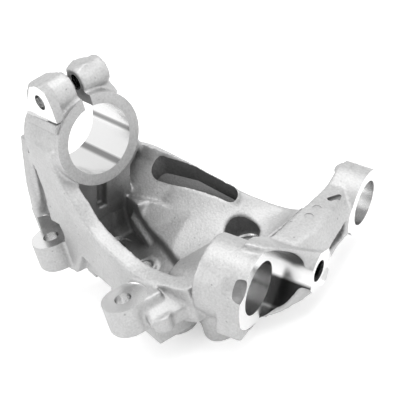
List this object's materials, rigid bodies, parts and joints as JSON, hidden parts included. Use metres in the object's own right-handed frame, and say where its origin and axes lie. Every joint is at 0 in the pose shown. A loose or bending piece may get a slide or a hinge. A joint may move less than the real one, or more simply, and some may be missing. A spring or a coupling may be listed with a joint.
{
  "type": "steering knuckle",
  "caption": "Cast aluminium steering knuckle with a split strut clamp, bearing flange, brake caliper ears and two ball joint eyes.",
  "frame": {"origin": "wheel axis on the bearing face, which the four feet touch", "axes": "+Z inboard along the wheel axis, +X down the car from the strut clamp to the ball joint eyes, -Y towards the brake caliper ears"},
  "size_m": [0.2115, 0.2339, 0.1944],
  "materials": {
    "casting": "as-cast with machined seats"
  },
  "bodies": {
    "root": {"knuckle_casting": "casting"}
  },
  "joints": []
}
